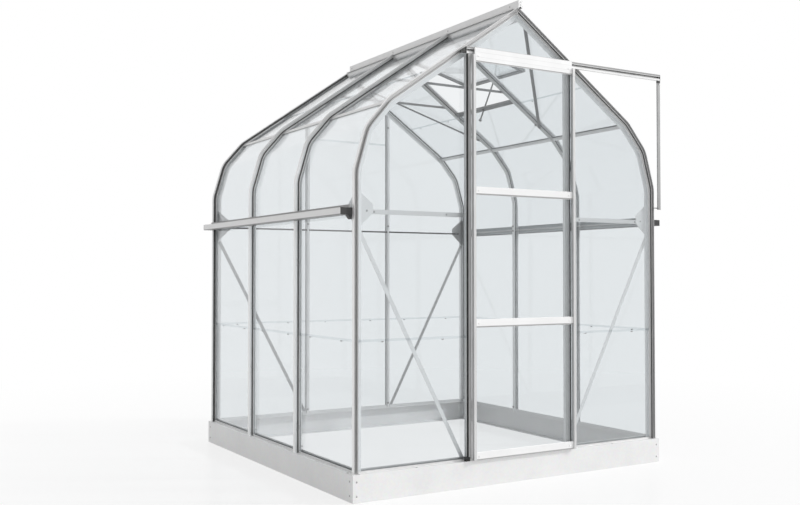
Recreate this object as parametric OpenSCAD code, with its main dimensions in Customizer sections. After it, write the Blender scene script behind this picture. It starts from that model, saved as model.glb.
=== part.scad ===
// Small greenhouse with curved eaves, clear panes in an aluminium frame on a low plinth.
// The gable with the sliding door faces -Y. The origin is on the ground, under the
// middle of the whole box, so the walls sit a little behind it: the door hangs in front.

/* [Frame] */
// Width over the corner bars
frame_w = 1902; // [1600:2:2400]
// Depth over the corner bars
frame_d = 1872; // [1500:2:3000]
// Height of the plinth
plinth_h = 128; // [90:1:200]
// How far the plinth stands out past the corner bars
plinth_out = 13; // [3:1:20]
// Thickness of the plinth's sheet
plinth_t = 3; // [2:0.5:5]
// Width of the plinth's top and bottom flanges
plinth_flange = 44; // [34:1:60]

/* [Eaves curve] */
// Height of the upright part of the side bars above the ground
leg_top_z = 1520; // [1300:1:1900]
// Length of the lower shoulder facet
shoulder_low = 217; // [180:1:320]
// Length of the upper shoulder facet
shoulder_high = 193; // [150:1:260]
// Slope of the lower shoulder facet
shoulder_low_angle = 73.5; // [70:0.5:80]
// Slope of the upper shoulder facet
shoulder_high_angle = 49; // [44:0.1:55]
// Pitch of the roof
roof_pitch = 34.75; // [30:0.05:40]
// Radius of the bends between the facets
bend_r = 160; // [100:5:250]

/* [Bars] */
// Width of the nose that the corner bars and door posts carry outside the panes
nose = 20; // [16:1:30]
// Depth of the glazing bars' inner edges behind the line of the corner bars
bar_depth = 31; // [30:1:60]
// How far the side walls' glazing bars stand out past the corner bars
cap_out = 10; // [0:1:12]
// Wall thickness of the bars
bar_t = 2.5; // [2:0.5:4]
// Width of the cap that holds the panes on a glazing bar
cap_w = 16; // [12:1:24]
// Depth of the lips that the cap turns in towards the panes
cap_d = 9; // [5:1:12]
// Width of the seat that the panes lie on
seat_w = 26; // [20:1:40]
// Width of the bead along a glazing bar's inner edge
bead_w = 12; // [8:1:20]
// Depth of the bead along a glazing bar's inner edge
bead_d = 5; // [4:1:10]
// Height of the sills that the lowest panes stand in
sill_h = 18; // [12:1:30]
// Reach of the flange that a corner bar turns in along the side wall
corner_flange = 34; // [32:1:60]
// Reach of the flange that a corner bar turns in along the gable
gable_flange = 50; // [40:1:70]
// Depth of the door posts' noses
post_nose_d = 11.5; // [8:0.5:14]
// How far the door posts' noses stand out past the corner bars
post_out = 10; // [0:1:12]
// Distance of the back gable's posts from the middle
back_post_x = 304; // [250:1:400]

/* [Panes] */
// Thickness of the panes
pane_t = 4; // [3:0.5:6]
// Height of the lap between the two rows of wall panes, above the ground
lap_z = 738; // [500:1:1000]
// Overlap of one pane on the next
lap = 12; // [8:1:30]
// Distance up the roof from the knee purlin to the lap
roof_lap = 338; // [250:1:450]
// Distance of the upper lap in the back gable below the apex
gable_lap_drop = 466; // [350:1:600]

/* [Eaves] */
// Distance of the eaves bars and the gutters below the top of the bars' upright part
eaves_drop = 190; // [120:1:300]
// Width of the gutter trough
gutter_w = 61; // [35:1:80]
// Height of the gutter trough
gutter_h = 33; // [25:1:60]
// Height of the plate that fixes a gutter to the bars
gutter_back_h = 42; // [36:1:90]
// Reach of the corner plates at the eaves
plate_reach = 82; // [50:1:120]
// Height of the corner plates at the eaves
plate_h = 190; // [120:1:260]
// Width of the braces and ties
brace_w = 20; // [12:1:30]
// Thickness of the braces and ties
brace_t = 2; // [1.5:0.5:4]
// Distance of the collar ties below the apex
collar_drop = 296; // [200:1:400]

/* [Ridge and vent] */
// Width of the ridge beam
ridge_w = 24; // [20:1:50]
// Height that the ridge beam stands above the roof line
ridge_up = 32; // [15:1:40]
// Height of the ridge beam
ridge_h = 74; // [66:1:100]
// How far the ridge beam stands out in front of the front gable
ridge_over = 15; // [0:1:40]
// Distance of the top of the ridge beam's back end from the back gable
ridge_short = 60; // [40:1:120]
// Height of the ridge beam's drip lips
ridge_lip = 10; // [5:1:15]
// Opening angle of the roof vent
vent_open = 20; // [10:1:35]
// How far the shut vent laps onto its sill
vent_on_sill = 10; // [5:1:20]
// Width of the vent's sill up the slope
vent_sill_w = 25; // [16:1:40]
// Thickness of the vent's frame
vent_t = 16; // [12:1:24]
// Width of the vent's frame bars
vent_bar = 22; // [15:1:35]
// Length of the vent's stay
stay_len = 276; // [200:1:320]

/* [Door] */
// Clear width between the noses of the door posts
door_gap = 608; // [560:1:700]
// Length of the door's rails
door_rail_len = 622; // [570:1:760]
// Width of the door's stiles
stile_w = 14.5; // [10:0.5:30]
// Depth of the door's stiles
stile_d = 19; // [14:1:30]
// Distance of the track's top edge below the apex
track_drop = 243; // [220:1:300]
// Distance of the door's top edge below the track's top edge
door_top_drop = 2; // [0:1:10]
// Height of the door's top rail
top_rail_h = 69; // [50:1:90]
// Height of the door's other rails
rail_h = 36; // [25:1:50]
// Height of the underside of the upper middle rail above the ground
upper_rail_z = 1432; // [1200:1:1600]
// Height of the underside of the lower middle rail above the ground
lower_rail_z = 780; // [600:1:900]
// Depth of the door's rails
rail_d = 10; // [8:1:20]
// Setback of the rails' faces from the stiles' faces
rail_setback = 8; // [0:1:12]
// Clearance between the door and what it slides past
door_clear = 6; // [5:0.5:12]
// How far the door laps past the left post's inner edge when it is shut
door_lap = 4.5; // [0:0.5:20]
// Height of the track
track_h = 34; // [26:1:45]
// Depth of the track
track_d = 14; // [12:1:20]
// Distance of the track's left end from the roof line, level with its top edge
track_inset = 17; // [0:1:40]
// How far the track runs on past the right corner bar
track_reach = 37; // [30:1:60]
// Width of the track's end post
track_post_w = 20; // [12:1:30]
// Depth of the track's end post
track_post_d = 7; // [5:1:12]
// Distance of the end post's foot below the top of the bars' upright part
track_post_drop = 120; // [60:1:400]

/* [Hidden] */
$fn = 24;

bend_steps = 6;
side_bays = 3;
vent_bay = 1;         // the bay on the right that the vent is in, from the front
touch = 0.3;          // clearance between pieces that lap
rest = 0.1;           // clearance between a pane and its seat
edge = 2;             // gap between a pane's edge and the metal beside it
glass_in = nose;      // from the outer faces of the noses to the outer face of the lower panes
lapped_in = glass_in - pane_t - touch;
seat_in = glass_in + pane_t + rest;
sill_in = lapped_in - bar_t - touch;
heel_in = seat_in + bar_t;

silver = "silver";
pale = "gainsboro";
clear = [0.8, 0.88, 0.9, 0.35];
black = [0.1, 0.1, 0.1];

// Widths and depths
half_w = frame_w / 2;
plinth_half_w = half_w + plinth_out;
track_y_out = track_d;
door_back_out = track_d - rail_d + door_clear;
stile_front_out = track_d + door_clear + rail_d + rail_setback;
// The box runs from the stiles' faces to the back of the plinth
mid_y = (stile_front_out - plinth_out) / 2;
front_y = mid_y - frame_d / 2;
back_y = mid_y + frame_d / 2;
plinth_front_y = front_y - plinth_out;
plinth_back_y = back_y + plinth_out;
bay = (frame_d - 2 * glass_in) / side_bays;
bar_ys = [for (i = [1 : side_bays - 1]) front_y + glass_in + i * bay];

// The line of the side bars' outer faces: the slopes of its facets and its corners
slopes = [90, shoulder_low_angle, shoulder_high_angle, roof_pitch];
knee_1 = [half_w, leg_top_z];
knee_2 = knee_1 + shoulder_low * [-cos(slopes[1]), sin(slopes[1])];
knee_3 = knee_2 + shoulder_high * [-cos(slopes[2]), sin(slopes[2])];
knees = [knee_1, knee_2, knee_3];
apex_z = knee_3[1] + knee_3[0] * tan(roof_pitch);
roof_len = knee_3[0] / cos(roof_pitch);
eaves_z = leg_top_z - eaves_drop;
collar_z = apex_z - collar_drop;
gable_lap_z = apex_z - gable_lap_drop;
track_top_z = apex_z - track_drop;
door_top_z = track_top_z - door_top_drop;

ridge_half = ridge_w / 2;
ridge_top_z = apex_z + ridge_up;
vent_mid_y = front_y + glass_in + (vent_bay + 0.5) * bay;
vent_half = bay / 2 - cap_w / 2 - 3;
vent_hinge_r = 4;
vent_pivot = [ridge_half + vent_hinge_r, apex_z - 7];
vent_slope = roof_pitch - vent_open;
vent_sill_s = roof_lap + edge;
vent_len = roof_len - vent_pivot[0] / cos(roof_pitch) - vent_sill_s - vent_sill_w + vent_on_sill;

// Rounded corner k of the outer line, moved in by t
function bend_centre(k) = let (a = (slopes[k] + slopes[k + 1]) / 2, turn = slopes[k] - slopes[k + 1])
    knees[k] - bend_r / cos(turn / 2) * [sin(a), cos(a)];
function bend(k, t) = [for (i = [0 : bend_steps])
    let (a = slopes[k] + (slopes[k + 1] - slopes[k]) * i / bend_steps)
    bend_centre(k) + (bend_r - t) * [sin(a), cos(a)]];
function bends(t) = [for (k = [0 : 2]) each bend(k, t)];
function roof_z(x, t) = apex_z - t / cos(roof_pitch) - x * tan(roof_pitch);
function backwards(list) = [for (i = [len(list) - 1 : -1 : 0]) list[i]];
// Half of the gable's outline from height z up to the distance x from the middle
function half_line(t, z, x) = concat([[half_w - t, z]], bends(t), [[x, roof_z(x, t)]]);
// Corner 3 moved in by t, where the purlin parts the curved panes from the roof panes
function purlin_point(t) = let (a = (slopes[2] + slopes[3]) / 2, turn = slopes[2] - slopes[3])
    knee_3 - t / cos(turn / 2) * [sin(a), cos(a)];

// Turns a shape in the plane of a gable, x across and y up, into a slab from y0 to y1
module slab(y0, y1) translate([0, y1, 0]) rotate([90, 0, 0]) linear_extrude(y1 - y0) children();
module left() mirror([1, 0, 0]) children();
module both_sides() {
    children();
    left() children();
}
// Swaps front and back about the middle of the frame
module back() translate([0, 2 * mid_y, 0]) mirror([0, 1, 0]) children();
// Local axes on the right slope: up the slope from corner 3, back, and in
module on_roof() translate([knee_3[0], 0, knee_3[1]]) rotate([0, 180 + roof_pitch, 0]) children();
module box(low, high) translate(low) cube(high - low);

// A strip that follows the outer line between two depths
module band(t0, t1, y0, y1, z = plinth_h, x = 0)
    slab(y0, y1) polygon(concat(half_line(t0, z, x), backwards(half_line(t1, z, x))));
// The inside of the gable's outline
module gable_area(t, z = plinth_h) {
    right = half_line(t, z, 0);
    polygon(concat(right, [for (p = backwards(right)) [-p[0], p[1]]]));
}

// ---- Plinth

module plinth_profile(length, h, flange, t) {
    // outer face at y = 0, length along x, flanges towards +y
    difference() {
        box([-length / 2, 0, 0], [length / 2, flange, h]);
        box([-length / 2 - 1, t, t], [length / 2 + 1, flange + 1, h - t]);
    }
}
module plinth_front() color(pale)
    translate([0, plinth_front_y, 0]) plinth_profile(2 * plinth_half_w, plinth_h, plinth_flange, plinth_t);
module plinth_back() color(pale) back() plinth_front();
module plinth_side() {
    length = plinth_back_y - plinth_front_y;
    // between the flanges of the front and the back the web runs on, behind their webs
    difference() {
        translate([plinth_half_w, mid_y, 0]) rotate([0, 0, 90])
            plinth_profile(length - 2 * plinth_t, plinth_h, plinth_flange, plinth_t);
        for (end = [0, 1]) plinth_flange_room(end);
    }
}
// Room that the flanges of the front or the back take out of a side
module plinth_flange_room(end) {
    y = end == 0 ? plinth_front_y : plinth_back_y - plinth_flange;
    for (z = [0, plinth_h - plinth_t])
        box([plinth_half_w - plinth_flange - 1, y, z - (z == 0 ? 1 : 0)],
            [plinth_half_w + 1, y + plinth_flange, z + plinth_t + (z == 0 ? 0 : 1)]);
}
module plinth_right() color(pale) plinth_side();
module plinth_left() color(pale) left() plinth_side();
// Angles inside the four corners, which the rivets pass through
module plinth_corner_angle() {
    leg = plinth_flange - 2;
    inset = 2 * plinth_t;
    x = plinth_half_w - plinth_t;
    y = plinth_front_y + plinth_t;
    difference() {
        box([x - leg, y, inset], [x, y + leg, plinth_h - inset]);
        box([x - leg - 1, y + plinth_t, 0], [x - plinth_t, y + leg + 1, plinth_h]);
    }
}
module plinth_corner_angles() color(pale) both_sides() {
    plinth_corner_angle();
    back() plinth_corner_angle();
}

// ---- Sills

// Channel that the lowest panes stand in: outer lip, floor and inner upstand
module sill_profile() polygon([
    [sill_in, 0], [heel_in + bar_t, 0], [heel_in + bar_t, sill_h], [heel_in, sill_h], [heel_in, bar_t],
    [sill_in + bar_t, bar_t], [sill_in + bar_t, sill_h / 2], [sill_in, sill_h / 2]]);
module side_sill() {
    room = heel_in;
    // lengthwise between the corner bars, with gaps for the glazing bars
    starts = concat([front_y + room], [for (y = bar_ys) y + seat_w / 2]);
    ends = concat([for (y = bar_ys) y - seat_w / 2], [back_y - room]);
    for (i = [0 : side_bays - 1])
        translate([half_w, ends[i], plinth_h]) rotate([90, 0, 0])
            linear_extrude(ends[i] - starts[i]) mirror([1, 0]) sill_profile();
}
// One length of sill along a gable, from x0 to x1, with its lip towards the front
module gable_sill(x0, x1)
    translate([x0, front_y, plinth_h]) rotate([90, 0, 90]) linear_extrude(x1 - x0) sill_profile();
module sills() color(silver) {
    wall_end = half_w - heel_in - bar_t - touch;
    both_sides() side_sill();
    both_sides() gable_sill(door_seat_x, wall_end);
    back() {
        both_sides() gable_sill(back_post_x + seat_w / 2, wall_end);
        gable_sill(-back_post_x + seat_w / 2, back_post_x - seat_w / 2);
    }
}

// ---- Bars

// Corner bar: a nose open to the front, a heel, and a flange along each wall
module corner_bar() {
    floor_in = nose - 2 * bar_t;
    // nose
    band(0, bar_t, front_y, front_y + nose);
    band(nose - bar_t, nose, front_y, front_y + nose);
    band(bar_t, nose - bar_t, front_y + floor_in, front_y + floor_in + bar_t);
    // heel
    band(nose - bar_t, heel_in, front_y + nose - bar_t, front_y + heel_in);
    // flanges along the side wall and along the gable, which stand on the floor of the sills
    foot_z = plinth_h + bar_t + rest;
    band(seat_in, heel_in, front_y + heel_in - 1, front_y + corner_flange, foot_z, ridge_half);
    band(heel_in - 1, gable_flange, front_y + seat_in, front_y + heel_in, foot_z);
}
module corner_bar_front_right() color(silver) corner_bar();
module corner_bar_front_left() color(silver) left() corner_bar();
module corner_bar_back_right() color(silver) back() corner_bar();
module corner_bar_back_left() color(silver) left() back() corner_bar();

// Section of a glazing bar that stands out that far: cap with two lips, web, seat for the panes
// and bead, each one as [outer depth, inner depth, from, to] across the bar
function bar_section(out) = [
    [-out, bar_t - out, -cap_w / 2, cap_w / 2],
    [-out, cap_d - out, -cap_w / 2, -cap_w / 2 + bar_t],
    [-out, cap_d - out, cap_w / 2 - bar_t, cap_w / 2],
    [-out, bar_depth, -bar_t / 2, bar_t / 2],
    [seat_in, heel_in, -seat_w / 2, seat_w / 2],
    [bar_depth - bead_d, bar_depth, -bead_w / 2, bead_w / 2]];
module side_bar(y) for (part = bar_section(cap_out))
    band(part[0], part[1], y + part[2], y + part[3], x = ridge_half);
module side_bars_right() color(silver) for (y = bar_ys) side_bar(y);
module side_bars_left() color(silver) left() side_bars_right();

// Strip of an upright of a gable, cut off below the nose or the flange of the corner bars
module upright(x0, x1, t0, t1) {
    cut = t1 < lapped_in ? nose + touch : gable_flange + touch;
    slab(front_y + t0, front_y + t1) intersection() {
        translate([x0, plinth_h]) square([x1 - x0, apex_z]);
        gable_area(cut);
    }
}
module gable_post(x) for (part = bar_section(0)) upright(x + part[2], x + part[3], part[0], part[1]);
module back_posts() color(silver) back() both_sides() gable_post(back_post_x);

// Door post: a nose that stands out past the corner bars as far up as the track, then a web with a
// narrow seat behind the panes
door_post_in = door_gap / 2;
door_post_out = door_post_in + nose;
door_web_x = door_post_in + nose / 2;
door_seat_x = door_web_x + bar_t + 6;
module door_post_nose() {
    nose_in = post_nose_d - post_out;
    upright(door_post_in, door_post_out, -post_out, bar_t - post_out);
    upright(door_post_in, door_post_in + bar_t, -post_out, nose_in);
    upright(door_post_out - bar_t, door_post_out, -post_out, nose_in);
    upright(door_web_x, door_web_x + bar_t, -post_out, bar_t);
}
module door_post() {
    intersection() {
        door_post_nose();
        box([0, front_y - post_out, 0], [half_w, mid_y, track_z0 - touch]);
    }
    upright(door_web_x, door_web_x + bar_t, 0, bar_depth);
    upright(door_web_x, door_seat_x, seat_in, heel_in);
}
module door_posts() color(silver) both_sides() door_post();

// Header over the doorway, below the track: a trough that the top pane stands in
header_h = 24;
header_z = track_top_z - track_h - header_h;
module door_header() color(silver) difference() {
    box([-door_post_in, front_y, header_z], [door_post_in, front_y + heel_in, header_z + header_h]);
    box([-door_post_in - 1, front_y + bar_t, header_z + bar_t],
        [door_post_in + 1, front_y + seat_in, header_z + header_h + 1]);
}

// ---- Eaves

gutter_bottom_z = eaves_z - 18;
gutter_out = half_w + gutter_w;
gutter_y0 = front_y + nose + 1;
gutter_y1 = back_y - nose - 1;
gutter_back_x = half_w + cap_out + touch;
gutter_end_x = half_w + touch;
module gutter_profile() {
    lip = 6;
    polygon([
        [gutter_back_x, gutter_bottom_z], [gutter_out, gutter_bottom_z],
        [gutter_out, gutter_bottom_z + gutter_h], [gutter_out - lip, gutter_bottom_z + gutter_h],
        [gutter_out - lip, gutter_bottom_z + gutter_h - bar_t],
        [gutter_out - bar_t, gutter_bottom_z + gutter_h - bar_t],
        [gutter_out - bar_t, gutter_bottom_z + bar_t], [gutter_back_x + bar_t, gutter_bottom_z + bar_t],
        [gutter_back_x + bar_t, gutter_bottom_z + gutter_back_h],
        [gutter_back_x, gutter_bottom_z + gutter_back_h]]);
}
// Ledges between the caps, from the gutter in to the edges of the wall panes and the curved panes
module gutter_ledges() {
    cap_room = cap_w / 2 + touch;
    ledge_z = eaves_z + (eaves_gap - bar_t) / 2;
    starts = concat([pane_starts[0]], [for (y = bar_ys) y + cap_room]);
    ends = concat([for (y = bar_ys) y - cap_room], [pane_ends[side_bays - 1]]);
    for (i = [0 : side_bays - 1])
        box([half_w - glass_in - pane_t, starts[i], ledge_z], [gutter_back_x + 1, ends[i], ledge_z + bar_t]);
}
module gutter() {
    slab(gutter_y0, gutter_y1) gutter_profile();
    gutter_ledges();
}
module gutter_right() color(silver) gutter();
module gutter_left() color(silver) left() gutter();
// End caps: plates that close the troughs, the front ones with an outlet below
cap_t = 3;
module gutter_cap() box([gutter_end_x, gutter_y0 - cap_t, gutter_bottom_z],
    [gutter_out, gutter_y0, gutter_bottom_z + gutter_h]);
module gutter_outlet() {
    drop = 20;
    width = 24;
    slab(gutter_y0, gutter_y0 + width) polygon([
        [gutter_end_x, gutter_bottom_z], [gutter_end_x, gutter_bottom_z - drop],
        [gutter_end_x + 8, gutter_bottom_z - drop], [gutter_end_x + width, gutter_bottom_z]]);
}
module gutter_end_caps() color(black) both_sides() {
    union() {
        gutter_cap();
        gutter_outlet();
    }
    back() gutter_cap();
}

// Plates inside the corner bars at eaves height, folded round the corner
module plate_outline() {
    flat = 40;
    polygon([[heel_in, eaves_z - plate_h / 2 + 10], [bar_depth + plate_reach, eaves_z - flat / 2 + 15],
        [bar_depth + plate_reach, eaves_z + flat / 2 + 15], [heel_in, eaves_z + plate_h / 2 + 10]]);
}
module eaves_corner_plate() {
    // along the gable
    translate([half_w, front_y + heel_in + brace_t, 0]) rotate([90, 0, 0])
        linear_extrude(brace_t) mirror([1, 0]) plate_outline();
    // along the side wall
    translate([half_w - heel_in - brace_t, front_y, 0]) rotate([90, 0, 90])
        linear_extrude(brace_t) plate_outline();
}
module eaves_corner_plates() color(silver) both_sides() {
    eaves_corner_plate();
    back() eaves_corner_plate();
}
// Level bars behind the gable panes at eaves height, low ones in the back gable
eaves_bar_end = half_w - bar_depth - plate_reach / 3;
module eaves_bar(x0, x1, h) box(
    [x0, front_y + heel_in + brace_t, eaves_z - h / 2],
    [x1, front_y + heel_in + 2 * brace_t, eaves_z + h / 2]);
module eaves_bars_front() color(silver) both_sides() eaves_bar(door_web_x + bar_t, eaves_bar_end, 22);
module eaves_bars_back() color(silver) back() {
    h = 10;
    room = bead_w / 2;
    both_sides() eaves_bar(back_post_x + room, eaves_bar_end, h);
    eaves_bar(-back_post_x + room, back_post_x - room, h);
}

// ---- Braces and ties

// Flat bar between two points of the gable's plane, at the given depth
module gable_strip(p, q, depth) {
    d = q - p;
    translate([p[0], front_y + depth + brace_t, p[1]]) rotate([90, -atan2(d[1], d[0]), 0])
        translate([0, -brace_w / 2, 0]) cube([norm(d), brace_w, brace_t]);
}
// Braces of the gables, from below the corner plates down to the sill, where they are cut level
module gable_brace(foot_x) {
    foot_z = plinth_h + sill_h;
    top = [half_w - heel_in - brace_w / 2 - 2, eaves_z - 88];
    foot = [foot_x + brace_w / 2, foot_z - brace_w / 2];
    intersection() {
        gable_strip(top, foot, heel_in);
        box([0, front_y, foot_z + touch], [half_w, mid_y, apex_z]);
    }
}
module gable_braces() color(silver) {
    both_sides() gable_brace(door_post_out);
    back() both_sides() gable_brace(back_post_x + bead_w / 2 + 2);
}
// Braces under the right slope, from each end of the ridge to the knee of the nearest glazing bar
module roof_brace() {
    top = [roof_len - 95, front_y + heel_in];
    foot = [118, bar_ys[0] - bead_w / 2 + 4];
    d = foot - top;
    intersection() {
        on_roof() translate([top[0], top[1], bar_depth]) rotate([0, 0, atan2(d[1], d[0])])
            translate([-brace_w, -brace_w / 2, 0]) cube([norm(d) + brace_w, brace_w, brace_t]);
        box([0, front_y + heel_in, 0], [half_w, mid_y, apex_z]);
    }
}
module roof_braces() color(silver) {
    roof_brace();
    back() roof_brace();
}
// Collar ties between the two glazing bars of a frame
collar_h = 14;
module collar_tie(y) slab(y - brace_t / 2, y + brace_t / 2) intersection() {
    translate([-half_w, collar_z - collar_h / 2]) square([frame_w, collar_h]);
    gable_area(bar_depth);
}
module collar_ties() color(silver) for (y = bar_ys) collar_tie(y);

// ---- Purlins and ridge

// Purlins at the knee: a cap over the panes' edges and a seat under them, bent to both slopes
purlin_cap_w = 15;
purlin_seat_w = 11;
function purlin_strip(t0, t1, reach) = let (
    down = reach * [cos(slopes[2]), -sin(slopes[2])],
    up = reach * [-cos(roof_pitch), sin(roof_pitch)])
    [purlin_point(t0) + down, purlin_point(t0), purlin_point(t0) + up,
    purlin_point(t1) + up, purlin_point(t1), purlin_point(t1) + down];
module knee_purlin() {
    cap_room = bar_t / 2 + touch;
    cap_starts = concat([front_y + heel_in + touch], [for (y = bar_ys) y + cap_room]);
    cap_ends = concat([for (y = bar_ys) y - cap_room], [back_y - heel_in - touch]);
    seat_starts = concat([front_y + corner_flange + touch], [for (y = bar_ys) y + seat_w / 2]);
    seat_ends = concat([for (y = bar_ys) y - seat_w / 2], [back_y - corner_flange - touch]);
    for (i = [0 : side_bays - 1]) {
        slab(cap_starts[i], cap_ends[i])
            polygon(purlin_strip(glass_in - bar_t - rest, glass_in - rest, purlin_cap_w));
        slab(seat_starts[i], seat_ends[i]) union() {
            polygon(purlin_strip(seat_in, heel_in, purlin_seat_w));
            polygon(purlin_strip(glass_in - bar_t, heel_in, bar_t / 2));
        }
    }
}
module knee_purlins() color(silver) both_sides() knee_purlin();

// Ridge beam: a channel open at the bottom, with drip lips and seats for the highest panes
ridge_seat = 26;
ridge_lip_z = roof_z(ridge_half, 0) + 1;
module ridge_channel(top) {
    inner = ridge_half - bar_t;
    bottom = ridge_top_z - ridge_h;
    polygon([
        [-ridge_half, bottom], [-ridge_half, top], [ridge_half, top], [ridge_half, bottom],
        [inner, bottom], [inner, top - bar_t], [-inner, top - bar_t], [-inner, bottom]]);
}
// Over the corner bars the channel is cut off on the roof line
module ridge_end_profile() {
    low = roof_z(ridge_half, -rest);
    polygon([
        [-ridge_half, low], [0, roof_z(0, -rest)], [ridge_half, low],
        [ridge_half, ridge_top_z], [-ridge_half, ridge_top_z]]);
}
module ridge_end_channel() difference() {
    ridge_end_profile();
    translate([bar_t - ridge_half, 0]) square([ridge_w - 2 * bar_t, ridge_top_z - bar_t]);
}
module ridge_seat_profile() {
    x0 = ridge_half - bar_t / 2;
    x1 = ridge_half + ridge_seat;
    polygon([
        [x0, roof_z(x0, seat_in)], [x1, roof_z(x1, seat_in)],
        [x1, roof_z(x1, heel_in)], [x0, roof_z(x0, heel_in)]]);
}
module ridge_lip_profile()
    translate([ridge_half - bar_t / 2, ridge_lip_z]) square([ridge_lip + bar_t / 2, bar_t]);
module ridge() color(silver) {
    tip_y = front_y - ridge_over;
    y0 = front_y + heel_in + touch;
    y1 = back_y - heel_in - touch;
    top_y1 = back_y - ridge_short;
    seat_starts = concat([front_y + corner_flange + touch], [for (y = bar_ys) y + seat_w / 2 + touch]);
    seat_ends = concat([for (y = bar_ys) y - seat_w / 2 - touch], [back_y - corner_flange - touch]);
    // end plate, the length over the front corner bars, and the full channel
    slab(tip_y, tip_y + bar_t) ridge_end_profile();
    slab(tip_y, y0 + 1) ridge_end_channel();
    slab(y0, top_y1) ridge_channel(ridge_top_z);
    // at the back the top ends early with a plate, and a low channel goes on to the corner bars
    slab(top_y1 - bar_t, top_y1) ridge_end_profile();
    slab(top_y1 - 1, y1) ridge_channel(ridge_lip_z + bar_t);
    // the lips leave room for the glazing bars, and on the right for the vent's hinge
    lip_room = cap_w / 2 + touch;
    lip_starts = concat([y0], [for (y = bar_ys) y + lip_room]);
    lip_ends = concat([for (y = bar_ys) y - lip_room], [y1]);
    for (i = [0 : side_bays - 1]) {
        slab(seat_starts[i], seat_ends[i]) ridge_seat_profile();
        slab(seat_starts[i], seat_ends[i]) mirror([1, 0]) ridge_seat_profile();
        slab(lip_starts[i], lip_ends[i]) mirror([1, 0]) ridge_lip_profile();
        if (i != vent_bay) slab(lip_starts[i], lip_ends[i]) ridge_lip_profile();
    }
}

// ---- Panes

pane_starts = concat([front_y + heel_in + 1], [for (y = bar_ys) y + bar_t / 2 + edge]);
pane_ends = concat([for (y = bar_ys) y - bar_t / 2 - edge], [back_y - heel_in - 1]);
pane_foot_z = plinth_h + bar_t + 0.5;
eaves_gap = 8;
module wall_panes() for (i = [0 : side_bays - 1]) {
    box([half_w - glass_in - pane_t, pane_starts[i], pane_foot_z], [half_w - glass_in, pane_ends[i], lap_z]);
    box([half_w - lapped_in - pane_t, pane_starts[i], lap_z - lap],
        [half_w - lapped_in, pane_ends[i], eaves_z]);
}
module wall_panes_right() color(clear) wall_panes();
module wall_panes_left() color(clear) left() wall_panes();

// Curved panes, from the eaves up to the purlin
function eaves_pane_line(t) = concat([[half_w - t, eaves_z + eaves_gap]], bend(0, t), bend(1, t),
    [purlin_point(t) - (bar_t / 2 + edge) * [-cos(slopes[2]), sin(slopes[2])]]);
module eaves_panes() for (i = [0 : side_bays - 1]) slab(pane_starts[i], pane_ends[i])
    polygon(concat(eaves_pane_line(glass_in), backwards(eaves_pane_line(glass_in + pane_t))));
module eaves_panes_right() color(clear) eaves_panes();
module eaves_panes_left() color(clear) left() eaves_panes();

// Roof panes in two rows; the vent takes the place of one of the upper row
function roof_point(s, t) = purlin_point(t) + s * [-cos(roof_pitch), sin(roof_pitch)];
module roof_strip(y0, y1, s0, s1, t0, t1)
    slab(y0, y1) polygon([roof_point(s0, t0), roof_point(s1, t0), roof_point(s1, t1), roof_point(s0, t1)]);
module roof_pane(y0, y1, s0, s1, t) roof_strip(y0, y1, s0, s1, t, t + pane_t);
roof_pane_end = (purlin_point(lapped_in + pane_t)[0] - ridge_half - edge) / cos(roof_pitch);
module roof_panes(gap) for (i = [0 : side_bays - 1]) {
    roof_pane(pane_starts[i], pane_ends[i], bar_t / 2 + edge, roof_lap, glass_in);
    if (i != gap) roof_pane(pane_starts[i], pane_ends[i], roof_lap - lap, roof_pane_end, lapped_in);
}
module roof_panes_right() color(clear) roof_panes(vent_bay);
module roof_panes_left() color(clear) left() roof_panes(-1);

// Gable panes: [x0, x1, z0, z1, depth] cut to the inside of the corner bars
module gable_pane(x0, x1, z0, z1, depth)
    slab(front_y + depth, front_y + depth + pane_t) intersection() {
        translate([x0, z0]) square([x1 - x0, z1 - z0]);
        gable_area(heel_in + 1, 0);
    }
module gable_column(x0, x1) {
    gable_pane(x0, x1, pane_foot_z, lap_z, glass_in);
    gable_pane(x0, x1, lap_z - lap, eaves_z + lap, lapped_in);
    gable_pane(x0, x1, eaves_z + lap + touch, apex_z, glass_in);
}
wall_pane_x = half_w - heel_in - 1;
module gable_panes_front() color(clear) {
    top_x = door_web_x - edge;
    both_sides() gable_column(door_web_x + bar_t + edge, wall_pane_x);
    gable_pane(-top_x, top_x, header_z + bar_t + 0.5, apex_z, glass_in);
}
module gable_panes_back() color(clear) back() {
    both_sides() gable_column(back_post_x + bar_t / 2 + edge, wall_pane_x);
    x = back_post_x - bar_t / 2 - edge;
    gable_pane(-x, x, pane_foot_z, lap_z, glass_in);
    gable_pane(-x, x, lap_z - lap, eaves_z + lap, lapped_in);
    gable_pane(-x, x, eaves_z + lap + touch, gable_lap_z, glass_in);
    gable_pane(-x, x, gable_lap_z - lap, apex_z, lapped_in);
}

// ---- Roof vent, which the tools hold open

// Local axes of the vent: x down from its hinge, z out
module on_vent() translate([vent_pivot[0], vent_mid_y, vent_pivot[1]]) rotate([0, vent_slope, 0]) children();
module vent_frame() color(silver) on_vent() {
    difference() {
        box([0, -vent_half, -vent_t / 2], [vent_len, vent_half, vent_t / 2]);
        box([vent_bar, -vent_half + vent_bar, -vent_t], [vent_len - vent_bar, vent_half - vent_bar, vent_t]);
        // rebate for the pane
        box([vent_bar / 2, -vent_half + vent_bar / 2, vent_t / 2 - pane_t],
            [vent_len - vent_bar / 2, vent_half - vent_bar / 2, vent_t]);
        // rounded back of the hinge
        box([-1, -vent_half - 1, -vent_t], [vent_hinge_r, vent_half + 1, vent_t]);
    }
    translate([0, -vent_half, 0]) rotate([-90, 0, 0]) cylinder(r = vent_hinge_r, h = 2 * vent_half);
    box([0, -vent_half, -vent_hinge_r / 2], [vent_bar / 2, vent_half, vent_hinge_r / 2]);
}
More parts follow.
